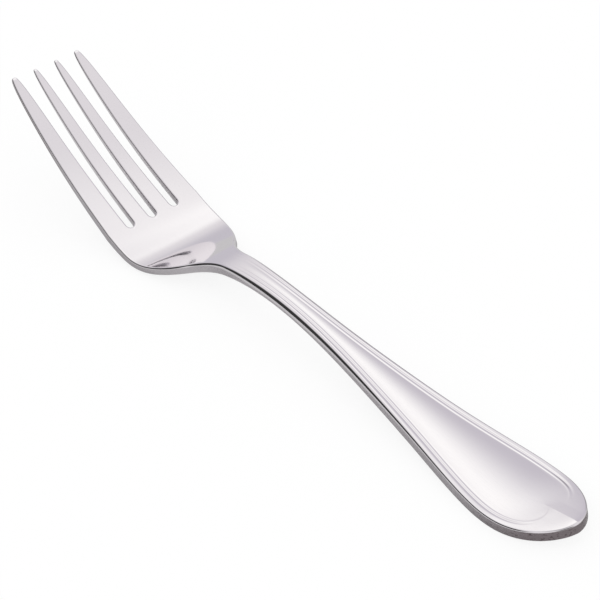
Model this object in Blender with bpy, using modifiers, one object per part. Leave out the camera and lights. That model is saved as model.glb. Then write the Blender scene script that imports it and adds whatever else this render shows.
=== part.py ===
"""Dessert fork: one piece of stainless steel, slotted into four tines, bent and coined.

Units are metres and +Z is up. The fork lies along X, tines towards -X, and rests on its heel and on
the back of its handle at Z = 0. It is symmetric about Y = 0, so one half is lofted and mirrored.

A station is a distance along the fork from the tine tips. A row is a line of points across the half
fork, from the centre line to the rim, and every row has the same columns.
"""

import math

import bmesh
import bpy
import numpy as np

# Lengths along the fork, from the tine tips to the end of the handle
TINE_LENGTH = 0.0428  # tips to the bottoms of the slots
PALM_LENGTH = 0.0057  # slots to the start of the shoulders
NECK_LENGTH = 0.0170  # end of the shoulders to the waist, where the shank is narrowest
GRIP_LENGTH = 0.07675  # waist to the widest point of the handle
END_LENGTH = 0.01675  # widest point to the end of the handle

# Widths in plan
HEAD_WIDTH = 0.0278
NECK_WIDTH = 0.0077
WAIST_WIDTH = 0.0070
HANDLE_WIDTH = 0.02185
SHOULDER_RADIUS = 0.0238  # convex arc out of the palm
NECK_RADIUS = 0.0138  # concave arc into the neck
GRIP_FLARE = ((0.27, 0.09), (0.48, 0.295), (0.69, 0.575), (0.87, 0.875))  # shares of length and of flare
END_FULLNESS = (0.88, 1.19)  # powers of the sine and cosine that draw the pointed round end

# Tines
TIP_PITCH = 0.00635
SLOT_PITCH = 0.0068
SLOT_WIDTH = 0.0023  # at the round bottom of the slot
TINE_TAPER = 0.31  # power of the tine's width along its length

# Side profile: heights of the upper rim above the table
TIP_HEIGHT = 0.0283
TINE_BOW = 0.00165  # how far the tines bow below a straight line from tip to slot
SLOT_HEIGHT = 0.0048
SHOULDER_HEIGHT = 0.00475
NECK_HEIGHT = 0.0086
ARCH_HEIGHT = 0.0103
SHANK_HEIGHT = 0.00875
GRIP_HEIGHT = 0.00415
END_LIFT = 0.0027  # how far the rim turns up at the end of the handle
END_CURL = 2.05  # power of that turn
REST_WEAR = 0.0001  # metal worn flat where the back of the fork rests

# Thickness of the metal
TIP_THICKNESS = 0.0008
PALM_THICKNESS = 0.0020
SHOULDER_THICKNESS = 0.0025
RISE_THICKNESS = 0.0029
NECK_THICKNESS = 0.0026
SHANK_THICKNESS = 0.0026
GRIP_THICKNESS = 0.00265
END_THICKNESS = 0.0024
HEEL_CROWN = 0.0004  # how much thinner the rounded heel is at its rims

# Where those heights and thicknesses are taken, in shares of the shoulders, the neck and the grip
HEEL_SHARE = 0.12
SHOULDER_SHARE = 0.52
RISE_SHARE = 0.90
ARCH_SHARE = 0.50
SHANK_SHARE = 0.25
GRIP_SHARE = 0.70
REST_SHARE = 0.96

# Cross-section
EDGE_RADIUS = 0.00035  # along the tines and slots
SHANK_RIM_RADIUS = 0.0010
GRIP_RIM_RADIUS = 0.00045
END_RIM_RADIUS = 0.00028
BACK_ROUNDING = 0.5  # share of that rounding on the back
EDGE_LIMIT = 0.45  # most that a rounded edge takes of a tine, a border or the thickness
HEAD_DISH_RADIUS = 0.280  # hollow across the tines and palm

# Panel and thread border of the handle
BORDER_WIDTH = 0.0026
BORDER_LIMIT = 0.75  # most that the border takes of the half width
BORDER_SHARES = (0.17, 0.38, 0.5)  # thread, groove and outer band, from the panel's edge to the rim
THREAD_SINK = 0.00001
GROOVE_DEPTH = 0.00008
PANEL_SINK = 0.00007  # depth of the groove between the panel and the thread
PANEL_CROWN = 0.00058  # how far the panel swells up at its widest
PANEL_SWELL = 1.4  # power of that swell as the panel narrows
PANEL_SHARES = (0.0, 0.35, 0.65, 0.88)  # columns from the centre line to the panel's edge
PANEL_POINT = 0.0077  # widest point of the handle to the point between the panel's two lobes
PANEL_FULLNESS = 3.5  # power of the sine that draws the lobes
PANEL_FADE = (0.25, 0.30)  # where the panel fades out, in shares of the shoulders and of the neck
THREAD_TURNS = (15, 45)  # degrees round the end over which the threads fade out

# Crowned end of the handle, which takes over from the panel's swell
CROWN_RANGE = (-0.0018, 0.0092)  # where the crown starts and is whole, from the widest point
CROWN_SLOPE = 0.14  # slope of the crown at the rim
CROWN_HEIGHT = 0.0007  # most height of that slope
RIDGE_HEIGHT = 0.0001  # ridge from the panel's point to the end of the handle
RIDGE_SPREAD = 0.0030

# Rows and columns of the loft
TINE_COLUMNS = (2, 4)  # between the rounded edges of the inner and of the outer tine
EDGE_COLUMNS = 4  # columns of the two rounded edges of a tine
TINE_ROWS = 12
TIP_GATHER = 2.2  # power that gathers rows at the tips
SLOT_END_ANGLES = (15, 35, 55, 75, 90)
BODY_ROW_GAP = 0.0019
GRIP_ROW_GAP = 0.0030
END_ROWS = 11
SMALLEST_LOBE = 0.01  # share at which the lobes stop closing, so that their columns stay apart

HALF_ARC = 1 - math.sqrt(0.5)  # share of a quarter arc's radius that its middle stands off
MERGE_DISTANCE = 1e-7
SHARP_ANGLE = 30  # degrees

shoulder_turn = math.acos(1 - (HEAD_WIDTH - NECK_WIDTH) / 2 / (SHOULDER_RADIUS + NECK_RADIUS))
shoulder_length = (SHOULDER_RADIUS + NECK_RADIUS) * math.sin(shoulder_turn)

slot_station = TINE_LENGTH
palm_station = slot_station + PALM_LENGTH
neck_station = palm_station + shoulder_length
waist_station = neck_station + NECK_LENGTH
wide_station = waist_station + GRIP_LENGTH
end_station = wide_station + END_LENGTH

heel_station = palm_station + shoulder_length * HEEL_SHARE
shoulder_station = palm_station + shoulder_length * SHOULDER_SHARE
rise_station = palm_station + shoulder_length * RISE_SHARE
arch_station = neck_station + NECK_LENGTH * ARCH_SHARE
shank_station = waist_station + GRIP_LENGTH * SHANK_SHARE
grip_station = waist_station + GRIP_LENGTH * GRIP_SHARE
rest_station = waist_station + GRIP_LENGTH * REST_SHARE


def smooth_curve(points):
    """A curve with no kinks through the given points, straight at its two ends."""
    at = np.array([point[0] for point in points])
    value = np.array([point[1] for point in points])
    gap = np.diff(at)
    slope = np.diff(value) / gap
    system = np.eye(len(at))
    change = np.zeros(len(at))
    for i in range(1, len(at) - 1):
        system[i, i - 1 : i + 2] = gap[i - 1], 2 * (gap[i - 1] + gap[i]), gap[i]
        change[i] = 6 * (slope[i] - slope[i - 1])
    bend = np.linalg.solve(system, change)

    def curve(station):
        i = int(np.clip(np.searchsorted(at, station) - 1, 0, len(gap) - 1))
        before = station - at[i]
        after = at[i + 1] - station
        cubic = (bend[i] * after**3 + bend[i + 1] * before**3) / (6 * gap[i])
        start = (value[i] / gap[i] - bend[i] * gap[i] / 6) * after
        finish = (value[i + 1] / gap[i] - bend[i + 1] * gap[i] / 6) * before
        return cubic + start + finish

    return curve


def ease(value, low, high):
    """0 below low, 1 above high, and a smooth change between them."""
    t = min(max((value - low) / (high - low), 0.0), 1.0)
    return t * t * (3 - 2 * t)


grip_flare = (HANDLE_WIDTH - WAIST_WIDTH) / 2
flare_end = waist_station + GRIP_LENGTH * GRIP_FLARE[-1][0]
shank_outline = smooth_curve(
    [(neck_station, NECK_WIDTH / 2), (waist_station, WAIST_WIDTH / 2)]
    + [(waist_station + GRIP_LENGTH * a, WAIST_WIDTH / 2 + grip_flare * b) for a, b in GRIP_FLARE]
    + [(wide_station, HANDLE_WIDTH / 2)]
    + [(2 * wide_station - flare_end, WAIST_WIDTH / 2 + grip_flare * GRIP_FLARE[-1][1])]
)  # the last point is the mirror of the last flare, so the outline is level at its widest point

thickness = smooth_curve(
    [
        (0, TIP_THICKNESS),
        (slot_station, PALM_THICKNESS),
        (shoulder_station, SHOULDER_THICKNESS),
        (rise_station, RISE_THICKNESS),
        (arch_station, NECK_THICKNESS),
        (shank_station, SHANK_THICKNESS),
        (grip_station, GRIP_THICKNESS),
        (end_station, END_THICKNESS),
    ]
)

rim_radius = smooth_curve(
    [
        (slot_station, EDGE_RADIUS),
        (shoulder_station, EDGE_RADIUS),
        (arch_station, SHANK_RIM_RADIUS),
        (shank_station, SHANK_RIM_RADIUS),
        (grip_station, GRIP_RIM_RADIUS),
        (end_station, END_RIM_RADIUS),
    ]
)


def half_width(station):
    """Half the width of the fork behind the slots and before its round end."""
    into_shoulder = station - palm_station
    if into_shoulder <= 0:
        return HEAD_WIDTH / 2
    if station >= neck_station:
        return shank_outline(station)
    if into_shoulder < SHOULDER_RADIUS * math.sin(shoulder_turn):
        return HEAD_WIDTH / 2 - SHOULDER_RADIUS + math.sqrt(SHOULDER_RADIUS**2 - into_shoulder**2)
    to_neck = neck_station - station
    return NECK_WIDTH / 2 + NECK_RADIUS - math.sqrt(NECK_RADIUS**2 - to_neck**2)


def head_dish(station, across):
    """Height of the hollowed head above its centre line."""
    fade = 1 - ease(station, palm_station, neck_station)
    return across**2 / (2 * HEAD_DISH_RADIUS) * fade


def back_crown(station, across):
    """How much thinner the metal is off the centre line, where the back of the heel is rounded."""
    share = ease(station, slot_station, heel_station) * (1 - ease(station, shoulder_station, neck_station))
    return HEEL_CROWN * share * (across / half_width(station)) ** 2


def resting_height(station):
    """Height of the rim where the back of the fork is worn flat on the table."""
    across = half_width(station)
    return thickness(station) + head_dish(station, across) - REST_WEAR


bent_rim = smooth_curve(
    [
        (0, TIP_HEIGHT),
        (slot_station / 2, (TIP_HEIGHT + SLOT_HEIGHT) / 2 - TINE_BOW),
        (slot_station, SLOT_HEIGHT),
        (heel_station, resting_height(heel_station)),
        (shoulder_station, SHOULDER_HEIGHT),
        (rise_station, NECK_HEIGHT),
        (arch_station, ARCH_HEIGHT),
        (shank_station, SHANK_HEIGHT),
        (grip_station, GRIP_HEIGHT),
        (rest_station, resting_height(rest_station)),
        (end_station, resting_height(rest_station)),
    ]
)


def rim_height(station):
    """Height of the upper rim, with the turned-up end of the handle."""
    into_end = max(0.0, (station - rest_station) / (end_station - rest_station))
    return bent_rim(station) + END_LIFT * into_end**END_CURL


def tine_edges(tine, station):
    """The inner and outer edge of a tine, counted from the centre slot, with the slot's round end."""
    outermost = tine == len(TINE_COLUMNS) - 1
    inner_slot = tine * SLOT_PITCH
    outer_slot = (tine + 1) * SLOT_PITCH
    inner_root = inner_slot + SLOT_WIDTH / 2
    outer_root = HEAD_WIDTH / 2 if outermost else outer_slot - SLOT_WIDTH / 2
    along = station / slot_station
    tip = (tine + 0.5) * TIP_PITCH
    middle = tip + ((inner_root + outer_root) / 2 - tip) * along
    reach = (outer_root - inner_root) / 2 * along**TINE_TAPER
    into_round = max(0.0, station - slot_station + SLOT_WIDTH / 2) / (SLOT_WIDTH / 2)
    open_share = math.sqrt(max(0.0, 1 - into_round**2))
    inner = inner_slot + (middle - reach - inner_slot) * open_share
    outer = middle + reach
    if not outermost:
        outer = outer_slot + (outer - outer_slot) * open_share
    return inner, outer


def strip(low, high, inner_columns):
    """Columns across one tine's strip: its rounded edges, and inner_columns evenly between them."""
    edge = min(EDGE_RADIUS, EDGE_LIMIT * (high - low))
    inside = np.linspace(low + edge, high - edge, inner_columns)
    return [low, low + edge * HALF_ARC, *inside, high - edge * HALF_ARC, high]


def tine_row(station):
    columns = []
    for tine, inner in enumerate(TINE_COLUMNS):
        columns += strip(*tine_edges(tine, station), inner)
    return [(station, across) for across in columns]


def handle_columns(station, length, panel, border):
    """Distances from the centre line to the panel, the threads, the outer band and the rim."""
    edge = min(rim_radius(station), EDGE_LIMIT * border)
    thread, groove, band = (panel + border * share for share in BORDER_SHARES)
    outer = np.linspace(band, length - edge, TINE_COLUMNS[-1])
    inner = [panel * share for share in PANEL_SHARES]
    return [*inner, panel, thread, thread, groove, *outer, length - edge * HALF_ARC, length]


def border_width(station):
    return min(BORDER_WIDTH, BORDER_LIMIT * half_width(station))


def body_row(station):
    """A row across the palm, neck or handle, which goes over from the tines' columns to the handle's."""
    rim = half_width(station)
    slot = SLOT_PITCH * rim / (HEAD_WIDTH / 2)
    head = strip(0, slot, TINE_COLUMNS[0]) + strip(slot, rim, TINE_COLUMNS[1])
    border = border_width(station)
    handle = handle_columns(station, rim, rim - border, border)
    share = ease(station, slot_station, neck_station)
    return [(station, a + (b - a) * share) for a, b in zip(head, handle)]


def end_row(turn):
    """A row that has swung round by turn, from straight across the handle to along its centre line."""
    start = wide_station + PANEL_POINT * math.sin(turn)
    rim_station = wide_station + END_LENGTH * math.sin(turn) ** END_FULLNESS[0]
    rim_across = HANDLE_WIDTH / 2 * max(0.0, math.cos(turn)) ** END_FULLNESS[1]
    length = math.hypot(rim_station - start, rim_across)
    border = border_width(wide_station)
    panel = (HANDLE_WIDTH / 2 - border) * max(SMALLEST_LOBE, 1 - math.sin(turn) ** PANEL_FULLNESS)
    along = (rim_station - start) / length
    across = rim_across / length
    columns = handle_columns(rim_station, length, panel, border)
    return [(start + d * along, d * across) for d in columns]


def end_half_width(station):
    """Half the width of the round end at a station."""
    along = min(max((station - wide_station) / END_LENGTH, 0.0), 1.0)
    turn = math.asin(along ** (1 / END_FULLNESS[0]))
    return HANDLE_WIDTH / 2 * math.cos(turn) ** END_FULLNESS[1]


def crown_share(station):
    return ease(station, wide_station + CROWN_RANGE[0], wide_station + CROWN_RANGE[1])


def end_crown(station, across):
    """Height of the crowned end, whose two sides meet in a low ridge along the centre line."""
    rim = half_width(station) if station < wide_station else end_half_width(station)
    inward = max(0.0, rim - across)
    crown = CROWN_HEIGHT * (1 - math.exp(-CROWN_SLOPE * inward / CROWN_HEIGHT))
    point = wide_station + PANEL_POINT
    ridge = RIDGE_HEIGHT * ease(station, point, point + RIDGE_SPREAD)
    return crown_share(station) * crown + ridge * max(0.0, min(RIDGE_SPREAD - across, inward)) / RIDGE_SPREAD


def panel_relief(row, turn):
    """Depths of the coined panel, thread and grooves below the rim, for a row that has swung by turn."""
    panel_edge = len(PANEL_SHARES)
    panel = math.dist(row[0], row[panel_edge])
    widest = HANDLE_WIDTH / 2 - BORDER_WIDTH
    threads = 1 - ease(turn, *(math.radians(angle) for angle in THREAD_TURNS))
    depths = [0.0] * len(row)
    for i, point in enumerate(row[: panel_edge + 1]):
        swell = PANEL_CROWN * (panel / widest) ** PANEL_SWELL * (1 - crown_share(point[0]))
        inward = 1 - (math.dist(row[0], point) / panel) ** 2
        depths[i] = PANEL_SINK * math.cos(turn) - swell * inward
    depths[panel_edge + 1] = THREAD_SINK * threads
    depths[panel_edge + 2] = THREAD_SINK * threads
    depths[panel_edge + 3] = GROOVE_DEPTH * threads
    return depths


def edge_drops(row, free_edges):
    """How far each column lies below the face, where it rounds off a free edge."""
    drops = [0.0] * len(row)
    for edge, inward in free_edges:
        width = math.dist(row[edge], row[edge + 2 * inward])
        drops[edge] = width
        drops[edge + inward] = width * HALF_ARC
    return drops


outer_strip = TINE_COLUMNS[0] + EDGE_COLUMNS  # first column of the outer tine
rim_column = outer_strip + TINE_COLUMNS[1] + EDGE_COLUMNS - 1
FREE_RIM = ((rim_column, -1),)  # a free edge's column, and the way from it into the metal
FREE_TINES = ((0, 1), (outer_strip - 1, -1), (outer_strip, 1), (rim_column, -1))


def tine_part():
    """(plan points, relief depths, edge drops) of every row from the tips to the bottoms of the slots."""
    straight = slot_station - SLOT_WIDTH / 2
    stations = [straight * (i / TINE_ROWS) ** TIP_GATHER for i in range(TINE_ROWS + 1)]
    stations += [straight + SLOT_WIDTH / 2 * math.sin(math.radians(a)) for a in SLOT_END_ANGLES]
    for station in stations:
        row = tine_row(station)
        yield row, [0.0] * len(row), edge_drops(row, FREE_TINES)


def body_part():
    """The same for every row from the slots to the widest point of the handle."""
    fade_from = neck_station - shoulder_length * PANEL_FADE[0]
    fade_to = neck_station + NECK_LENGTH * PANEL_FADE[1]
    palm = np.arange(slot_station + EDGE_RADIUS, neck_station, BODY_ROW_GAP)
    grip = np.linspace(neck_station, wide_station, round((wide_station - neck_station) / GRIP_ROW_GAP))
    for station in [*palm, *grip]:
        row = body_row(station)
        fade = ease(station, fade_from, fade_to)
        relief = [depth * fade for depth in panel_relief(row, 0.0)]
        relief = [depth - end_crown(*point) for depth, point in zip(relief, row)]
        yield row, relief, edge_drops(row, FREE_RIM)


def end_part():
    """The same for every row that swings round the end of the handle."""
    for i in range(1, END_ROWS + 1):
        turn = math.pi / 2 * i / END_ROWS
        row = end_row(turn)
        relief = [depth - end_crown(*point) for depth, point in zip(panel_relief(row, turn), row)]
        yield row, relief, edge_drops(row, FREE_RIM)


def faces_of_row(row, relief, drops):
    """The upper and lower points of one row, square to the side profile, with the resting parts worn flat."""
    step = EDGE_RADIUS
    upper = []
    lower = []
    for (station, across), depth, drop in zip(row, relief, drops):
        rim = half_width(min(max(station, slot_station), wide_station))
        tilt = math.atan((rim_height(station + step) - rim_height(station - step)) / (2 * step))
        height = rim_height(station) + head_dish(station, across) - head_dish(station, rim)
        metal = thickness(station) - back_crown(station, across)
        rounding = min(drop, metal * EDGE_LIMIT)
        top = depth + rounding
        back = metal - rounding * BACK_ROUNDING
        back_height = max(0.0, height - back * math.cos(tilt))
        upper.append((station + top * math.sin(tilt), across, height - top * math.cos(tilt)))
        lower.append((station + back * math.sin(tilt), across, back_height))
    return upper, lower


def loft(bm):
    """Skins the rows: both faces of each tine's strip, and a wall along every free edge."""
    points = [faces_of_row(*row) for part in (tine_part(), body_part(), end_part()) for row in part]
    upper = [[bm.verts.new(point) for point in top] for top, _ in points]
    lower = [[bm.verts.new(point) for point in back] for _, back in points]
    last_slotted = TINE_ROWS + len(SLOT_END_ANGLES)
    inner_tine = range(0, outer_strip - 1)
    outer_tine = range(outer_strip, rim_column)
    for i in range(len(points) - 1):
        top, next_top = upper[i], upper[i + 1]
        back, next_back = lower[i], lower[i + 1]
        for j in [*inner_tine, *outer_tine]:
            bm.faces.new((top[j], next_top[j], next_top[j + 1], top[j + 1]))
            bm.faces.new((back[j], back[j + 1], next_back[j + 1], next_back[j]))
        for j, inward in FREE_TINES if i < last_slotted else FREE_RIM:
            wall = [top[j], next_top[j], next_back[j], back[j]]
            bm.faces.new(wall if inward < 0 else wall[::-1])


def polished_steel():
    material = bpy.data.materials.new("polished stainless steel")
    material.use_nodes = True
    shader = material.node_tree.nodes["Principled BSDF"]
    shader.inputs["Base Color"].default_value = (0.72, 0.71, 0.72, 1)
    shader.inputs["Metallic"].default_value = 1.0
    shader.inputs["Roughness"].default_value = 0.12
    return material


def make_fork():
    bm = bmesh.new()
    loft(bm)
    bmesh.ops.remove_doubles(bm, verts=bm.verts, dist=MERGE_DISTANCE)
    reach = [vertex.co.x for vertex in bm.verts]
    bmesh.ops.translate(bm, verts=bm.verts, vec=(-(min(reach) + max(reach)) / 2, 0, 0))
    mesh = bpy.data.meshes.new("fork")
    bm.to_mesh(mesh)
    bm.free()
    mesh.shade_smooth()
    mesh.set_sharp_from_angle(angle=math.radians(SHARP_ANGLE))
    mesh.materials.append(polished_steel())
    fork = bpy.data.objects.new("fork", mesh)
    mirror = fork.modifiers.new("other half", "MIRROR")
    mirror.use_axis = (False, True, False)
    mirror.merge_threshold = MERGE_DISTANCE
    return fork


def main():
    for obj in list(bpy.data.objects):
        bpy.data.objects.remove(obj)
    collection = bpy.data.collections.new("dessert fork")
    bpy.context.scene.collection.children.link(collection)
    collection.objects.link(make_fork())


main()
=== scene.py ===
import math

import bmesh
import bpy
import numpy as np
from mathutils import Matrix, Vector


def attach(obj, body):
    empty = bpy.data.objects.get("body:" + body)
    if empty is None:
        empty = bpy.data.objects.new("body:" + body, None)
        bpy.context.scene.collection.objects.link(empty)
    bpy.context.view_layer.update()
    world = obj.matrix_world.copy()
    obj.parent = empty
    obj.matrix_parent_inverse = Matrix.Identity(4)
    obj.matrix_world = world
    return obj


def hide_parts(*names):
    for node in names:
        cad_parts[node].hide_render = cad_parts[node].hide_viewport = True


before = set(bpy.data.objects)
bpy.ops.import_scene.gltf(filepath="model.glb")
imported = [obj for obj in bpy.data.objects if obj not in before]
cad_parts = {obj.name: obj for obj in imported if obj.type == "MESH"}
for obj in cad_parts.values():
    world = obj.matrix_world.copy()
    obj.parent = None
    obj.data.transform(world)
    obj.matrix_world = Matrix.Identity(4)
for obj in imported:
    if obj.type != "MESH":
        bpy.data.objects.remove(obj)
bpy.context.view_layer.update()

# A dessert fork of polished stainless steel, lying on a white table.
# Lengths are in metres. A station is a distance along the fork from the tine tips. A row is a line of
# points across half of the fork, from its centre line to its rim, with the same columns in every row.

MM = 0.001

# Lengths along the fork
TINE_LENGTH = 42.8 * MM
PALM_LENGTH = 5.7 * MM
NECK_LENGTH = 17.0 * MM
GRIP_LENGTH = 76.75 * MM
END_LENGTH = 16.75 * MM
CENTRE_STATION = 92.40 * MM  # lies at X = 0

# Widths in plan
HEAD_WIDTH = 27.8 * MM
NECK_WIDTH = 7.7 * MM
WAIST_WIDTH = 7.0 * MM
HANDLE_WIDTH = 21.85 * MM
SHOULDER_RADIUS = 23.8 * MM
NECK_RADIUS = 13.8 * MM
GRIP_FLARE = ((0.27, 0.09), (0.48, 0.295), (0.69, 0.575), (0.87, 0.875))  # shares of length and flare
END_FULLNESS = (0.88, 1.19)  # powers along and across: 1 and 1 would make half an ellipse

# Tines
TIP_PITCH = 6.35 * MM
SLOT_PITCH = 6.8 * MM
SLOT_WIDTH = 2.3 * MM
TINE_TAPER = 0.31  # power of the widening from the tip
TIP_ROUND = 0.7 * MM
SLOT_UNDERCUT = 0.8  # how far the slots widen at the back, as a share of their rounded edge

# Heights of the rim
TIP_HEIGHT = 28.3 * MM
TINE_BOW = 1.65 * MM
SLOT_HEIGHT = 4.8 * MM
SHOULDER_HEIGHT = 4.75 * MM
NECK_HEIGHT = 8.6 * MM
ARCH_HEIGHT = 10.3 * MM
SHANK_HEIGHT = 8.75 * MM
GRIP_HEIGHT = 4.15 * MM
END_LIFT = 2.7 * MM
END_CURL = 2.05  # power of the lift towards the end
REST_WEAR = 0.1 * MM

# Thickness of the metal
TIP_THICKNESS = 0.8 * MM
PALM_THICKNESS = 2.0 * MM
SHOULDER_THICKNESS = 2.5 * MM
RISE_THICKNESS = 2.9 * MM
NECK_THICKNESS = 2.6 * MM
SHANK_THICKNESS = 2.6 * MM
GRIP_THICKNESS = 2.65 * MM
END_THICKNESS = 2.4 * MM
HEEL_CROWN = 0.4 * MM

# Where those heights and thicknesses are taken, in shares of the shoulders, the neck and the grip
HEEL_SHARE = 0.12
SHOULDER_SHARE = 0.52
RISE_SHARE = 0.90
ARCH_SHARE = 0.50
SHANK_SHARE = 0.25
GRIP_SHARE = 0.70
REST_SHARE = 0.96

# Cross-section
EDGE_RADIUS = 0.35 * MM
HEEL_RIM_RADIUS = 0.55 * MM
SHANK_RIM_RADIUS = 1.2 * MM
GRIP_RIM_RADIUS = 0.60 * MM
END_RIM_RADIUS = 0.30 * MM
BACK_ROUNDING = 0.5  # rounding of the back, as a share of the upper edge's
EDGE_LIMIT = 0.52  # largest rounding, as a share of the metal and of the border
TINE_EDGE_LIMIT = 0.48  # largest rounding, as a share of a tine's width
HEAD_DISH_RADIUS = 280 * MM
SLOPE_STEP = 0.35 * MM  # distance over which the slope of the side profile is taken

# Panel and thread border
BORDER_WIDTH = 2.6 * MM
BORDER_LIMIT = 0.75  # widest border, as a share of half the width
GROOVE_AT = 0.35  # share of the border, as the two spreads are
GROOVE_SPREAD = 0.13
GROOVE_DEPTH = 0.09 * MM
PANEL_SINK = 0.05 * MM
SINK_SPREAD = 0.11
PANEL_CROWN = 0.58 * MM
PANEL_SWELL = 0.95  # power of the swell over the panel's width
PANEL_POINT = 7.7 * MM
PANEL_FULLNESS = 3.5  # power that shapes the lobes
PANEL_FADE = (0.25, 0.30)  # shares of the shoulders before the neck and of the neck behind it
THREAD_TURNS = (15, 45)  # degrees round the end between which the thread fades
CROWN_RANGE = (-1.8 * MM, 9.2 * MM)  # from the widest point
CROWN_SLOPE = 0.14
CROWN_HEIGHT = 0.7 * MM
RIDGE_HEIGHT = 0.1 * MM
RIDGE_SPREAD = 3.0 * MM
SMALLEST_LOBE = 0.01  # share of the panel's width, so that no row of it is empty

# Rows and columns of the loft
EDGE_STEPS = 8
INNER_TINE_COLUMNS = 13
OUTER_TINE_COLUMNS = 34
PANEL_COLUMNS = 16
TINE_ROWS = 50
TIP_GATHER = 2.2  # power that gathers the rows at the tips
SLOT_END_ROWS = 10
BODY_ROW_GAP = 0.55 * MM
GRIP_ROW_GAP = 0.9 * MM
END_ROWS = 48
MERGE_DISTANCE = 1e-7

# Camera: the photograph's viewing angle in degrees, distance and frame
VIEW_AZIMUTH = -41.240
VIEW_ELEVATION = 39.201
VIEW_ROLL = 0.0117
VIEW_DISTANCE = 487.0 * MM
VIEW_CENTRE = Vector((2.05, 2.38, 8.15)) * MM
IMAGE_SIZE = 600
FOCAL_PIXELS = 2102.7
SENSOR = 36.0  # millimetres, the unit of Blender's cameras
CLIP_START = 10 * MM

shoulder_turn = math.acos(1 - (HEAD_WIDTH - NECK_WIDTH) / 2 / (SHOULDER_RADIUS + NECK_RADIUS))
shoulder_length = (SHOULDER_RADIUS + NECK_RADIUS) * math.sin(shoulder_turn)

slot_station = TINE_LENGTH
palm_station = slot_station + PALM_LENGTH
neck_station = palm_station + shoulder_length
waist_station = neck_station + NECK_LENGTH
wide_station = waist_station + GRIP_LENGTH
end_station = wide_station + END_LENGTH

heel_station = palm_station + shoulder_length * HEEL_SHARE
shoulder_station = palm_station + shoulder_length * SHOULDER_SHARE
rise_station = palm_station + shoulder_length * RISE_SHARE
arch_station = neck_station + NECK_LENGTH * ARCH_SHARE
shank_station = waist_station + GRIP_LENGTH * SHANK_SHARE
grip_station = waist_station + GRIP_LENGTH * GRIP_SHARE
rest_station = waist_station + GRIP_LENGTH * REST_SHARE

widest_panel = HANDLE_WIDTH / 2 - BORDER_WIDTH


def smooth_curve(points):
    """A natural cubic spline through the given points: without kinks, and straight at its two ends."""
    at = np.array([point[0] for point in points])
    value = np.array([point[1] for point in points])
    gap = np.diff(at)
    slope = np.diff(value) / gap
    system = np.eye(len(at))
    change = np.zeros(len(at))
    for i in range(1, len(at) - 1):
        system[i, i - 1 : i + 2] = gap[i - 1], 2 * (gap[i - 1] + gap[i]), gap[i]
        change[i] = 6 * (slope[i] - slope[i - 1])
    bend = np.linalg.solve(system, change)

    def curve(station):
        i = int(np.clip(np.searchsorted(at, station) - 1, 0, len(gap) - 1))
        before = station - at[i]
        after = at[i + 1] - station
        cubic = (bend[i] * after**3 + bend[i + 1] * before**3) / (6 * gap[i])
        start = (value[i] / gap[i] - bend[i] * gap[i] / 6) * after
        finish = (value[i + 1] / gap[i] - bend[i + 1] * gap[i] / 6) * before
        return cubic + start + finish

    return curve


def ease(value, low, high):
    """0 below low, 1 above high, and a smooth change between them."""
    t = min(max((value - low) / (high - low), 0.0), 1.0)
    return t * t * (3 - 2 * t)


grip_flare = (HANDLE_WIDTH - WAIST_WIDTH) / 2
flare_end = waist_station + GRIP_LENGTH * GRIP_FLARE[-1][0]
shank_outline = smooth_curve(
    [(neck_station, NECK_WIDTH / 2), (waist_station, WAIST_WIDTH / 2)]
    + [(waist_station + GRIP_LENGTH * a, WAIST_WIDTH / 2 + grip_flare * b) for a, b in GRIP_FLARE]
    + [(wide_station, HANDLE_WIDTH / 2)]
    + [(2 * wide_station - flare_end, WAIST_WIDTH / 2 + grip_flare * GRIP_FLARE[-1][1])]
)  # the last point is the mirror of the last flare, so the outline is level at its widest point

thickness = smooth_curve(
    [
        (0, TIP_THICKNESS),
        (slot_station, PALM_THICKNESS),
        (shoulder_station, SHOULDER_THICKNESS),
        (rise_station, RISE_THICKNESS),
        (arch_station, NECK_THICKNESS),
        (shank_station, SHANK_THICKNESS),
        (grip_station, GRIP_THICKNESS),
        (end_station, END_THICKNESS),
    ]
)


def half_width(station):
    """Half the width of the fork behind the slots and before its round end."""
    into_shoulder = station - palm_station
    if into_shoulder <= 0:
        return HEAD_WIDTH / 2
    if station >= neck_station:
        return shank_outline(station)
    if into_shoulder < SHOULDER_RADIUS * math.sin(shoulder_turn):
        return HEAD_WIDTH / 2 - SHOULDER_RADIUS + math.sqrt(SHOULDER_RADIUS**2 - into_shoulder**2)
    to_neck = neck_station - station
    return NECK_WIDTH / 2 + NECK_RADIUS - math.sqrt(NECK_RADIUS**2 - to_neck**2)


rim_radius = smooth_curve(
    [
        (slot_station, EDGE_RADIUS),
        (shoulder_station, HEEL_RIM_RADIUS),
        (arch_station, SHANK_RIM_RADIUS),
        (shank_station, SHANK_RIM_RADIUS),
        (grip_station, GRIP_RIM_RADIUS),
        (end_station, END_RIM_RADIUS),
    ]
)


def head_dish(station, across):
    """Height of the hollowed head above its centre line."""
    fade = 1 - ease(station, palm_station, neck_station)
    return across**2 / (2 * HEAD_DISH_RADIUS) * fade


def back_crown(station, across):
    """How much thinner the metal is off the centre line, where the back of the heel is rounded."""
    before = ease(station, slot_station, heel_station)
    behind = 1 - ease(station, shoulder_station, neck_station)
    return HEEL_CROWN * before * behind * (across / half_width(station)) ** 2


def resting_height(station):
    """Height of the rim where the back of the fork is worn flat on the table."""
    across = half_width(station)
    return thickness(station) + head_dish(station, across) - REST_WEAR


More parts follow.
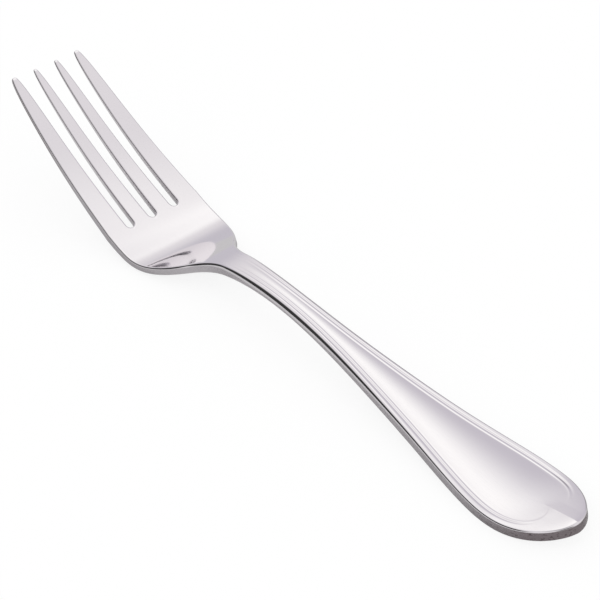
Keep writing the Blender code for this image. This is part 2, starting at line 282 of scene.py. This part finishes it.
bent_rim = smooth_curve(
    [
        (0, TIP_HEIGHT),
        (slot_station / 2, (TIP_HEIGHT + SLOT_HEIGHT) / 2 - TINE_BOW),
        (slot_station, SLOT_HEIGHT),
        (heel_station, resting_height(heel_station)),
        (shoulder_station, SHOULDER_HEIGHT),
        (rise_station, NECK_HEIGHT),
        (arch_station, ARCH_HEIGHT),
        (shank_station, SHANK_HEIGHT),
        (grip_station, GRIP_HEIGHT),
        (rest_station, resting_height(rest_station)),
        (end_station, resting_height(rest_station)),
    ]
)


def rim_height(station):
    """Height of the upper rim, with the turned-up end of the handle."""
    into_end = max(0.0, (station - rest_station) / (end_station - rest_station))
    return bent_rim(station) + END_LIFT * into_end**END_CURL


# (reach inwards, drop) of the points of a rounded edge in edge radii, from the free edge to the face
EDGE_ANGLES = [math.pi / 2 * k / EDGE_STEPS for k in range(EDGE_STEPS, 0, -1)]
EDGE_IN = [(1 - math.sin(angle), 1 - math.cos(angle)) for angle in EDGE_ANGLES]
EDGE_OUT = EDGE_IN[::-1]

# Column numbers: each tine is a rounded edge, its face and another rounded edge
INNER_FACE = range(EDGE_STEPS, EDGE_STEPS + INNER_TINE_COLUMNS)
OUTER_START = INNER_FACE[-1] + 1 + EDGE_STEPS
OUTER_FACE = range(OUTER_START + EDGE_STEPS, OUTER_START + EDGE_STEPS + OUTER_TINE_COLUMNS)
RIM = OUTER_FACE[-1] + EDGE_STEPS
FREE_RIM = ((RIM, -1),)  # (column of a free edge, step towards the metal)
FREE_TINES = ((0, 1), (OUTER_START - 1, -1), (OUTER_START, 1), *FREE_RIM)
FACE_COLUMNS = INNER_TINE_COLUMNS + OUTER_TINE_COLUMNS - 1
NO_SHIFT = (0.0, 0.0, 0.0)


def tine_edges(tine, station):
    """The inner and outer edge of a tine before the round end of its slots."""
    inner_root = tine * SLOT_PITCH + SLOT_WIDTH / 2
    outer_root = HEAD_WIDTH / 2 if tine else SLOT_PITCH - SLOT_WIDTH / 2
    along = station / slot_station
    tip = (tine + 0.5) * TIP_PITCH
    middle = tip + ((inner_root + outer_root) / 2 - tip) * along
    reach = (outer_root - inner_root) / 2 * along**TINE_TAPER
    return middle - reach, middle + reach


def tine_row(station):
    """(station, across, edge drop) of the points across both tines."""
    row = []
    for tine, columns in enumerate((INNER_TINE_COLUMNS, OUTER_TINE_COLUMNS)):
        low, high = tine_edges(tine, station)
        edge = min(EDGE_RADIUS, TINE_EDGE_LIMIT * (high - low))
        row += [(station, low + edge * reach, edge * drop) for reach, drop in EDGE_IN]
        row += [(station, across, 0.0) for across in np.linspace(low + edge, high - edge, columns)]
        row += [(station, high - edge * reach, edge * drop) for reach, drop in EDGE_OUT]
    return row


def undercut(row):
    """How far each point of the back lies in from the edges of the slots: (along, across, up)."""
    shifts = [NO_SHIFT] * len(row)
    for edge, inward in FREE_TINES[:-1]:
        face = row[edge + inward * EDGE_STEPS]
        along, across = face[0] - row[edge][0], face[1] - row[edge][1]
        length = math.hypot(along, across)
        for k, (_, drop) in enumerate(EDGE_IN):
            share = drop * SLOT_UNDERCUT
            shifts[edge + inward * k] = along * share, across * share, length * share
    return shifts


def slot_end_row(turn):
    """A row whose rounded edges have swung round the bottoms of the slots by turn."""
    start = slot_station - SLOT_WIDTH / 2
    radius = SLOT_WIDTH / 2
    face = radius + EDGE_RADIUS
    station = start + face * math.sin(turn)

    def edge(slot, side, reach, drop):
        out = radius + EDGE_RADIUS * reach
        across = slot + side * out * math.cos(turn)
        return start + out * math.sin(turn), across, EDGE_RADIUS * drop

    low, middle, high = face * math.cos(turn), SLOT_PITCH, HEAD_WIDTH / 2
    first = np.linspace(low, middle - low, INNER_TINE_COLUMNS)
    second = np.linspace(middle + low, high - EDGE_RADIUS, OUTER_TINE_COLUMNS)
    row = [edge(0.0, 1, *point) for point in EDGE_IN]
    row += [(station, across, 0.0) for across in first]
    row += [edge(middle, -1, *point) for point in EDGE_OUT]
    row += [edge(middle, 1, *point) for point in EDGE_IN]
    row += [(station, across, 0.0) for across in second]
    row += [(station, high - EDGE_RADIUS * reach, EDGE_RADIUS * drop) for reach, drop in EDGE_OUT]
    return row


def border_width(station):
    """Width of the border, which narrows with the shank."""
    return min(BORDER_WIDTH, BORDER_LIMIT * half_width(station))


def handle_columns(station, length, panel, border):
    """Distances from the centre line to the panel, its border and the start of the rounded rim."""
    edge = min(rim_radius(station), EDGE_LIMIT * border)
    inner = np.linspace(0, panel, PANEL_COLUMNS)
    outer = np.linspace(panel, length - edge, FACE_COLUMNS - PANEL_COLUMNS + 1)
    return np.concatenate([inner, outer[1:]]), edge


def with_seams(face, point):
    """A full row from its face columns, whose edges along the slots close up where there is no slot."""
    inner = list(face[:INNER_TINE_COLUMNS])
    outer = list(face[INNER_TINE_COLUMNS - 1 :])
    row = [inner[0]] * EDGE_STEPS + inner + [inner[-1]] * EDGE_STEPS
    row += [outer[0]] * EDGE_STEPS + outer
    return [point(distance) for distance in row]


def body_row(station):
    """A row straight across the fork, whose columns change from the head's to the handle's."""
    rim = half_width(station)
    slot = SLOT_PITCH * rim / (HEAD_WIDTH / 2)
    border = border_width(station)
    share = ease(station, slot_station, neck_station)
    handle, edge = handle_columns(station, rim, rim - border, border)
    head = np.concatenate(
        [
            np.linspace(0, slot, INNER_TINE_COLUMNS),
            np.linspace(slot, rim - edge, OUTER_TINE_COLUMNS)[1:],
        ]
    )
    face = head + (handle - head) * share
    row = with_seams(face, lambda across: (station, across, 0.0))
    return row + [(station, rim - edge * reach, edge * drop) for reach, drop in EDGE_OUT]


def lobe_length(turn):
    """Length of the panel along a row that has swung round the end by turn."""
    return widest_panel * max(SMALLEST_LOBE, 1 - math.sin(turn) ** PANEL_FULLNESS)


def end_row(turn):
    """A row that has swung round by turn, from across the handle to along its centre line."""
    start = wide_station + PANEL_POINT * math.sin(turn)
    rim_station = wide_station + END_LENGTH * math.sin(turn) ** END_FULLNESS[0]
    rim_across = HANDLE_WIDTH / 2 * max(0.0, math.cos(turn)) ** END_FULLNESS[1]
    length = math.hypot(rim_station - start, rim_across)
    along = (rim_station - start) / length
    across = rim_across / length
    face, edge = handle_columns(rim_station, length, lobe_length(turn), BORDER_WIDTH)
    row = with_seams(face, lambda out: (start + out * along, out * across, 0.0))
    for reach, drop in EDGE_OUT:
        out = length - edge * reach
        row.append((start + out * along, out * across, edge * drop))
    return row


def end_half_width(station):
    """Half the width of the round end at a station."""
    along = min(max((station - wide_station) / END_LENGTH, 0.0), 1.0)
    turn = math.asin(along ** (1 / END_FULLNESS[0]))
    return HANDLE_WIDTH / 2 * math.cos(turn) ** END_FULLNESS[1]


def crown_share(station):
    """0 before the crowned end of the handle, and 1 where it has its full height."""
    return ease(station, wide_station + CROWN_RANGE[0], wide_station + CROWN_RANGE[1])


def end_crown(station, across):
    """Height of the crowned end, whose two sides meet in a low ridge along the centre line."""
    rim = half_width(station) if station < wide_station else end_half_width(station)
    inward = max(0.0, rim - across)
    crown = CROWN_HEIGHT * (1 - math.exp(-CROWN_SLOPE * inward / CROWN_HEIGHT))
    point = wide_station + PANEL_POINT
    ridge = RIDGE_HEIGHT * ease(station, point, point + RIDGE_SPREAD)
    ridge_share = max(0.0, min(RIDGE_SPREAD - across, inward)) / RIDGE_SPREAD
    return crown_share(station) * crown + ridge * ridge_share


def relief(station, distance, panel, border, turn):
    """Depth of the coined panel, thread and grooves below the rim, which fades round the end."""
    sink = PANEL_SINK * math.cos(turn)
    if distance <= panel:
        swell = PANEL_CROWN * (panel / widest_panel) ** PANEL_SWELL * (1 - crown_share(station))
        return sink - swell * (1 - (distance / panel) ** 2)
    share = (distance - panel) / border
    threads = 1 - ease(turn, *(math.radians(angle) for angle in THREAD_TURNS))
    groove = GROOVE_DEPTH * threads * math.exp(-(((share - GROOVE_AT) / GROOVE_SPREAD) ** 2))
    return groove + sink * math.exp(-((share / SINK_SPREAD) ** 2))


def tine_part():
    """(row, relief depths, shifts of the back) of each row from the tips to the ends of the slots."""
    straight = slot_station - SLOT_WIDTH / 2
    for i in range(TINE_ROWS + 1):
        row = tine_row(straight * (i / TINE_ROWS) ** TIP_GATHER)
        yield row, [0.0] * len(row), undercut(row)
    for i in range(1, SLOT_END_ROWS + 1):
        row = slot_end_row(math.pi / 2 * i / SLOT_END_ROWS)
        yield row, [0.0] * len(row), undercut(row)


def body_part():
    """The same for each row from the slots to the widest point of the handle."""
    fade_from = neck_station - shoulder_length * PANEL_FADE[0]
    fade_to = neck_station + NECK_LENGTH * PANEL_FADE[1]
    first = slot_station + EDGE_RADIUS
    palm = np.arange(first + BODY_ROW_GAP, neck_station, BODY_ROW_GAP)
    grip_rows = round((wide_station - neck_station) / GRIP_ROW_GAP)
    grip = np.linspace(neck_station, wide_station, grip_rows)
    for station in [*palm, *grip]:
        row = body_row(station)
        fade = ease(station, fade_from, fade_to)
        border = border_width(station)
        panel = half_width(station) - border
        depths = [fade * relief(station, across, panel, border, 0.0) for _, across, _ in row]
        depths = [depth - end_crown(station, across) for depth, (_, across, _) in zip(depths, row)]
        yield row, depths, [NO_SHIFT] * len(row)


def end_part():
    """The same for each row that swings round the end of the handle."""
    for i in range(1, END_ROWS + 1):
        turn = math.pi / 2 * i / END_ROWS
        row = end_row(turn)
        panel = lobe_length(turn)
        depths = []
        for station, across, _ in row:
            distance = math.dist(row[0][:2], (station, across))
            coined = relief(station, distance, panel, BORDER_WIDTH, turn)
            depths.append(coined - end_crown(station, across))
        yield row, depths, [NO_SHIFT] * len(row)


def faces_of_row(row, depths, shifts):
    """The upper and lower points of a row, square to the side profile and worn flat where it rests."""
    upper = []
    lower = []
    for (station, across, drop), depth, shift in zip(row, depths, shifts):
        rim = half_width(min(max(station, slot_station), wide_station))
        rise = rim_height(station + SLOPE_STEP) - rim_height(station - SLOPE_STEP)
        tilt = math.atan(rise / (2 * SLOPE_STEP))
        height = rim_height(station) + head_dish(station, across) - head_dish(station, rim)
        metal = thickness(station) - back_crown(station, across)
        into_tip = max(0.0, 1 - station / TIP_ROUND)
        tip_round = metal / 2 * (1 - math.sqrt(1 - into_tip**2))
        rounding = min(drop, metal * EDGE_LIMIT)
        top = depth + max(rounding, tip_round)
        back = metal - max(rounding * BACK_ROUNDING + shift[2], tip_round)
        back_height = max(0.0, height - back * math.cos(tilt))
        upper.append((station + top * math.sin(tilt), across, height - top * math.cos(tilt)))
        lower.append((station + back * math.sin(tilt) + shift[0], across + shift[1], back_height))
    return upper, lower


def skin(bm):
    """Lays the upper face, the back and the walls along the free edges, and returns the rim's walls."""
    points = [faces_of_row(*row) for part in (tine_part(), body_part(), end_part()) for row in part]
    upper = [[bm.verts.new(point) for point in top] for top, _ in points]
    lower = [[bm.verts.new(point) for point in back] for _, back in points]
    slotted = TINE_ROWS + SLOT_END_ROWS
    tines = [*range(0, OUTER_START - 1), *range(OUTER_START, RIM)]
    body = [*INNER_FACE[:-1], *range(OUTER_FACE[0], RIM)]
    rim_walls = []
    for i in range(len(points) - 1):
        top, next_top = upper[i], upper[i + 1]
        back, next_back = lower[i], lower[i + 1]
        for j in tines if i < slotted else body:
            bm.faces.new((top[j], next_top[j], next_top[j + 1], top[j + 1]))
            bm.faces.new((back[j], back[j + 1], next_back[j + 1], next_back[j]))
        for j, inward in FREE_TINES if i < slotted else FREE_RIM:
            wall = [top[j], next_top[j], next_back[j], back[j]]
            face = bm.faces.new(wall if inward < 0 else wall[::-1])
            if j == RIM:
                rim_walls.append(face)
    split_corners(bm)
    return rim_walls


def split_corners(bm):
    """Splits each face with one point off the centre line, so that no half lies in the mirror plane."""
    corners = []
    for face in bm.faces:
        off_centre = [vert for vert in face.verts if abs(vert.co.y) >= MERGE_DISTANCE]
        if len(off_centre) == 1:
            corners.append(face)
    bmesh.ops.triangulate(bm, faces=corners, quad_method="ALTERNATE")


def placed(name, data):
    """A new object of the scene."""
    obj = bpy.data.objects.new(name, data)
    bpy.context.scene.collection.objects.link(obj)
    return obj


def make_fork(face_steel, edge_steel):
    """The fork as one piece, half of it laid and the other half mirrored, in two finishes of steel."""
    materials = [face_steel, edge_steel]
    bm = bmesh.new()
    for wall in skin(bm):
        wall.material_index = materials.index(edge_steel)
    bmesh.ops.remove_doubles(bm, verts=bm.verts, dist=MERGE_DISTANCE)
    bmesh.ops.dissolve_degenerate(bm, edges=bm.edges, dist=MERGE_DISTANCE)
    bmesh.ops.translate(bm, verts=bm.verts, vec=(-CENTRE_STATION, 0, 0))
    mesh = bpy.data.meshes.new("polished_fork")
    bm.to_mesh(mesh)
    bm.free()
    mesh.shade_smooth()
    for material in materials:
        mesh.materials.append(material)
    fork = placed("polished_fork", mesh)
    mirror = fork.modifiers.new("other half", "MIRROR")
    mirror.use_axis = (False, True, False)
    mirror.merge_threshold = MERGE_DISTANCE
    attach(fork, "root")
    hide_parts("fork")


def linear(hex_colour):
    """An sRGB hex colour as linear red, green, blue and alpha, by the formula of the sRGB standard."""
    parts = [int(hex_colour[i : i + 2], 16) / 255 for i in (1, 3, 5)]
    return *[c / 12.92 if c <= 0.04045 else ((c + 0.055) / 1.055) ** 2.4 for c in parts], 1.0


def add(tree, kind, inputs=(), links=(), **settings):
    """Adds a node with its settings, (socket, value) inputs and (socket, source, output) links."""
    node = tree.nodes.new(kind)
    for name, value in settings.items():
        setattr(node, name, value)
    for name, value in inputs:
        node.inputs[name].default_value = value
    for name, source, output in links:
        tree.links.new(source.outputs[output], node.inputs[name])
    return node


def grey(level):
    """A neutral linear colour."""
    return level, level, level, 1.0


def new_material(name):
    """A new material with its node tree and its shader."""
    material = bpy.data.materials.new(name)
    material.use_nodes = True
    return material, material.node_tree, material.node_tree.nodes["Principled BSDF"]


def noise(tree, size, detail):
    """A noise whose grains have the given sizes along X, Y and Z, in the object's own space."""
    place = add(tree, "ShaderNodeTexCoord")
    grain = [("Scale", [1 / length for length in size])]
    scaled = add(tree, "ShaderNodeMapping", grain, [("Vector", place, "Object")])
    values = [("Scale", 1.0), ("Detail", detail)]
    return add(tree, "ShaderNodeTexNoise", values, [("Vector", scaled, "Vector")])


def ramp(tree, source, output, low, high, first=0.0, last=1.0, **settings):
    """Maps a value between low and high onto first to last and holds it there outside them."""
    limits = [("From Min", low), ("From Max", high), ("To Min", first), ("To Max", last)]
    return add(tree, "ShaderNodeMapRange", limits, [("Value", source, output)], **settings)


def blend(tree, share, plain, mixed):
    """Mixes an sRGB colour, or an earlier mix, with another sRGB colour by the share of a ramp."""
    colours = [("Color2", linear(mixed))]
    links = [("Fac", share, "Result")]
    if isinstance(plain, str):
        colours.append(("Color1", linear(plain)))
    else:
        links.append(("Color1", plain, "Color"))
    return add(tree, "ShaderNodeMixRGB", colours, links)


def relief_of(tree, source, output, depth):
    """Bumps of the given depth, high where the source is high."""
    height = [("Strength", 1.0), ("Distance", depth)]
    return add(tree, "ShaderNodeBump", height, [("Height", source, output)])


def make_metal(tree, shader, colour, dullness, bumps):
    """Makes the shader a metal whose colour, roughness and normals come from the given nodes."""
    shader.inputs["Metallic"].default_value = 1.0
    tree.links.new(colour.outputs["Color"], shader.inputs["Base Color"])
    tree.links.new(dullness.outputs["Result"], shader.inputs["Roughness"])
    tree.links.new(bumps.outputs["Normal"], shader.inputs["Normal"])


NOISE_RANGE = (0.3, 0.7)  # where nearly all values of a noise lie

# Real buffing lines are about 0.02 mm wide, too fine for the picture, so they are drawn coarser.
BUFFING_LINES = (9 * MM, 0.22 * MM, 0.22 * MM)
BUFFING_DETAIL = 3.0
BUFFING_DEPTH = 0.0001 * MM
BUFFED_ROUGHNESS = (0.055, 0.075)
BUFFED_COLOURS = ("#F0ECEF", "#EEEAED")


def mirror_polished_steel():
    """Stainless steel, buffed lengthways: a bright mirror that very fine lines blur a little."""
    material, tree, shader = new_material("mirror-polished stainless steel")
    lines = noise(tree, BUFFING_LINES, BUFFING_DETAIL)
    share = ramp(tree, lines, "Fac", *NOISE_RANGE)
    colour = blend(tree, share, *BUFFED_COLOURS)
    dullness = ramp(tree, lines, "Fac", *NOISE_RANGE, *BUFFED_ROUGHNESS)
    bumps = relief_of(tree, lines, "Fac", BUFFING_DEPTH)
    make_metal(tree, shader, colour, dullness, bumps)
    return material


# The belt's lines along the edge are drawn about four times as wide as they are, to show at all.
GRINDING_LINES = (5 * MM, 5 * MM, 0.25 * MM)
GRINDING_DETAIL = 4.0
GRINDING_DEPTH = 0.002 * MM
GROUND_ROUGHNESS = (0.20, 0.32)
GROUND_COLOURS = ("#D0CBCF", "#C5C0C4")
# Painted shade: towards both ends the edge is painted darker and browner, standing in for the shadowed
# table that the end walls reflect.
PAINTED_SHADE_RANGE = (66 * MM, 87 * MM)  # from the middle of the fork towards each end
PAINTED_SHADE_COLOUR = "#8E8588"
PITS = (0.7 * MM, 0.7 * MM, 0.4 * MM)
PIT_DETAIL = 2.0
PIT_RANGE = (0.58, 0.68)
PIT_COLOUR = "#6A6063"


def ground_steel():
    """Stainless steel edges, belt-ground lengthways but not buffed: grey and rough, and towards both
    ends darker, a painted shade for the shadowed table they reflect there, with their own browner tone
    and fine pits."""
    material, tree, shader = new_material("belt-ground stainless steel edge")
    lines = noise(tree, GRINDING_LINES, GRINDING_DETAIL)
    share = ramp(tree, lines, "Fac", *NOISE_RANGE)
    place = add(tree, "ShaderNodeTexCoord")
    split = add(tree, "ShaderNodeSeparateXYZ", links=[("Vector", place, "Object")])
    off_centre = add(tree, "ShaderNodeMath", links=[(0, split, "X")], operation="ABSOLUTE")
    # painted shade: the edge darkens and browns towards both ends, for the shadowed table reflected
    # there
    painted_shade = ramp(tree, off_centre, "Value", *PAINTED_SHADE_RANGE)
    pits = ramp(tree, noise(tree, PITS, PIT_DETAIL), "Fac", *PIT_RANGE)
    tree.links.new(painted_shade.outputs["Result"], pits.inputs["To Max"])  # pits only where the edge carries the painted shade
    colour = blend(tree, share, *GROUND_COLOURS)
    colour = blend(tree, painted_shade, colour, PAINTED_SHADE_COLOUR)
    colour = blend(tree, pits, colour, PIT_COLOUR)
    dullness = ramp(tree, lines, "Fac", *NOISE_RANGE, *GROUND_ROUGHNESS)
    bumps = relief_of(tree, lines, "Fac", GRINDING_DEPTH)
    make_metal(tree, shader, colour, dullness, bumps)
    return material


TABLE_SIZE = 4.0
TABLE_DROP = 0.02 * MM  # the table lies this far below the fork, so that the two don't touch
TABLE_GLOW = 0.85
CARD_GREY = 0.62


def matt_material(name, level):
    """A plain grey or white with no gloss, and its shader."""
    material, _, shader = new_material(name)
    shader.inputs["Base Color"].default_value = grey(level)
    shader.inputs["Specular IOR Level"].default_value = 0.0
    return material, shader


def sheet(name, height, material):
    """A flat square of the table's size."""
    half = TABLE_SIZE / 2
    corners = [(x * half, y * half, height) for x, y in ((-1, -1), (1, -1), (1, 1), (-1, 1))]
    mesh = bpy.data.meshes.new(name)
    mesh.from_pydata(corners, [], [range(len(corners))])
    mesh.materials.append(material)
    obj = placed(name, mesh)
    return obj


def only_in_reflections(obj):
    """Makes an object visible in the metal alone: not to the camera, in diffuse light or in shadows."""
    obj.visible_camera = False
    obj.visible_diffuse = False
    obj.visible_shadow = False


def white_table():
    """A white table top that gives most of its white as glow, so that the shadow on it stays faint."""
    material, shader = matt_material("matt white table", 1 - TABLE_GLOW)
    shader.inputs["Emission Color"].default_value = grey(1.0)
    shader.inputs["Emission Strength"].default_value = TABLE_GLOW
    sheet("table", -TABLE_DROP, material)


def grey_card():
    """A grey card on the table, only in reflections, so that the edges of the metal stand out."""
    material, _ = matt_material("matt grey card", CARD_GREY)
    only_in_reflections(sheet("grey card", -TABLE_DROP / 2, material))


def direction(azimuth, elevation):
    """A unit vector, with the azimuth counted from +X towards +Y, in degrees."""
    azimuth, elevation = math.radians(azimuth), math.radians(elevation)
    level = math.cos(elevation)
    return level * math.cos(azimuth), level * math.sin(azimuth), math.sin(elevation)


def patch(tree, outward, centre, inner, outer):
    """A share that is 1 within inner degrees of a direction and 0 beyond outer degrees."""
    side = [(1, direction(*centre))]
    links = [(0, outward, "Vector")]
    toward = add(tree, "ShaderNodeVectorMath", side, links, operation="DOT_PRODUCT")
    angle = add(tree, "ShaderNodeMath", links=[(0, toward, "Value")], operation="ARCCOSINE")
    limits = math.radians(outer), math.radians(inner)
    return ramp(tree, angle, "Value", *limits, interpolation_type="SMOOTHSTEP")


TENT_RADIUS = 1.5
TENT_SEGMENTS = 64
TENT_RINGS = 32
TENT_LEVEL = (0.828, 0.817, 0.827, 1)
# (azimuth and elevation, inner and outer reach, level) of the lamp, the shaded roof, two shaded sides,
# the dark horizon on the far side and two openings towards the dark room. Each covers those before it.
TENT_PATCHES = (
    ((121, 48), (11, 29), (1.14, 1.15, 1.12, 1)),
    ((-30, 70), (2, 34), (0.36, 0.36, 0.37, 1)),
    ((101, 21), (20, 45), (0.628, 0.609, 0.656, 1)),
    ((198, -26), (56, 75), (0.609, 0.596, 0.642, 1)),
    ((112, 0), (16, 26), (0.25, 0.24, 0.25, 1)),
    ((-118, 17), (28, 48), (0.04, 0.04, 0.04, 1)),
    ((-14, 16), (12, 26), (0.06, 0.06, 0.06, 1)),
)


def light_tent():
    """A pale tent round the fork, only in reflections, with a lamp, shaded parts and dark openings."""
    material = bpy.data.materials.new("tent cloth")
    material.use_nodes = True
    tree = material.node_tree
    tree.nodes.clear()
    place = add(tree, "ShaderNodeTexCoord")
    normal = add(tree, "ShaderNodeVectorMath", links=[(0, place, "Object")], operation="NORMALIZE")
    inside = add(tree, "ShaderNodeRGB")
    inside.outputs["Color"].default_value = TENT_LEVEL
    for side, reach, level in TENT_PATCHES:
        links = [("Fac", patch(tree, normal, side, *reach), "Result"), ("Color1", inside, "Color")]
        inside = add(tree, "ShaderNodeMixRGB", [("Color2", level)], links)
    glow = add(tree, "ShaderNodeEmission", links=[("Color", inside, "Color")])
    add(tree, "ShaderNodeOutputMaterial", links=[("Surface", glow, "Emission")])
    mesh = bpy.data.meshes.new("light tent")
    bm = bmesh.new()
    bmesh.ops.create_uvsphere(
        bm, u_segments=TENT_SEGMENTS, v_segments=TENT_RINGS, radius=TENT_RADIUS
    )
    bm.to_mesh(mesh)
    bm.free()
    mesh.materials.append(material)
    tent = placed("light tent", mesh)
    only_in_reflections(tent)


def white_room():
    """Even white light from all sides, and a white background."""
    world = bpy.data.worlds.new("white room")
    bpy.context.scene.world = world
    world.use_nodes = True
    background = world.node_tree.nodes["Background"]
    background.inputs["Color"].default_value = grey(1.0)
    background.inputs["Strength"].default_value = 1.0


def camera():
    """The camera, with its angle, distance and frame fitted to the photograph."""
    back = Vector(direction(VIEW_AZIMUTH, VIEW_ELEVATION))
    level = Vector(direction(VIEW_AZIMUTH + 90, 0))
    right = Matrix.Rotation(math.radians(VIEW_ROLL), 3, back) @ level
    up = back.cross(right)
    data = bpy.data.cameras.new("camera")
    data.sensor_width = SENSOR
    data.lens = FOCAL_PIXELS / IMAGE_SIZE * SENSOR
    data.clip_start = CLIP_START
    obj = placed("camera", data)
    axes = Matrix((right, up, back)).transposed().to_4x4()
    obj.matrix_world = Matrix.Translation(VIEW_CENTRE + back * VIEW_DISTANCE) @ axes
    bpy.context.scene.camera = obj


make_fork(mirror_polished_steel(), ground_steel())
white_table()
grey_card()
light_tent()
white_room()
camera()
bpy.context.scene.view_settings.view_transform = "Standard"
